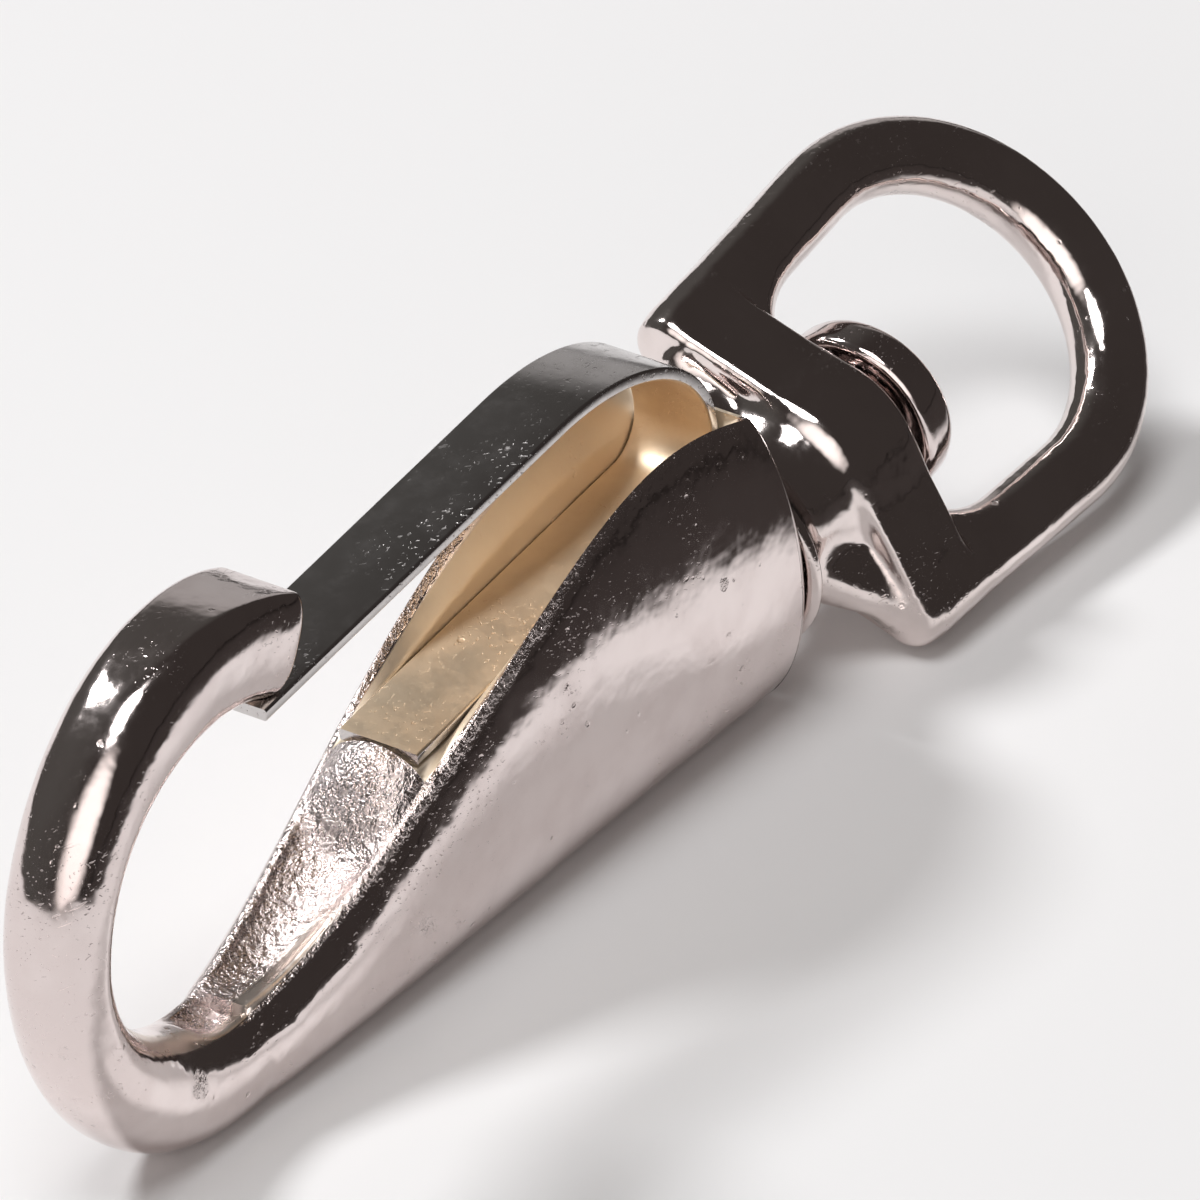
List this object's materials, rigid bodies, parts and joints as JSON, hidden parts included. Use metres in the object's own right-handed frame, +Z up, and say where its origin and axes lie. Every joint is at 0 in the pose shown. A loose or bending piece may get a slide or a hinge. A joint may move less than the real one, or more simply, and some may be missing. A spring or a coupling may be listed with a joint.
{
  "type": "swivel snap hook",
  "caption": "Small plated spring snap hook: open bow on a boat-shaped hull, bent strip-spring gate, and a swivelling D eye on a headed stud.",
  "frame": {"origin": "on the ground under the middle of the snap, which stands on the flat of its keel", "axes": "+X from the bow to the swivel eye along the ground, +Z up, from the keel towards the gate; Y across the hull"},
  "size_m": [0.0805, 0.0164, 0.0259],
  "materials": {
    "plated_casting": "bright nickel plate over a die casting",
    "spring_strip": "nickel-plated rolled spring steel",
    "plated_eye": "bright nickel plate over a die casting"
  },
  "bodies": {
    "hook": {"hook_body": "plated_casting"},
    "gate": {"gate_spring": "spring_strip"},
    "eye": {"swivel_eye": "plated_eye"}
  },
  "joints": [
    {"name": "gate_flex", "type": "hinge", "parent": "hook", "child": "gate", "pos_m": [0.00684, 0, 0.01526], "axis": [0, -1, 0], "range_deg": [0, 14], "stiffness_Nm_per_rad": 0.6, "springref_deg": -4.58, "deforming": ["gate_spring"]},
    {"name": "eye_swivel", "type": "hinge", "parent": "hook", "child": "eye", "pos_m": [0.0116, 0, 0.00682], "axis": [0.9961, 0, 0.0878], "continuous": true}
  ]
}
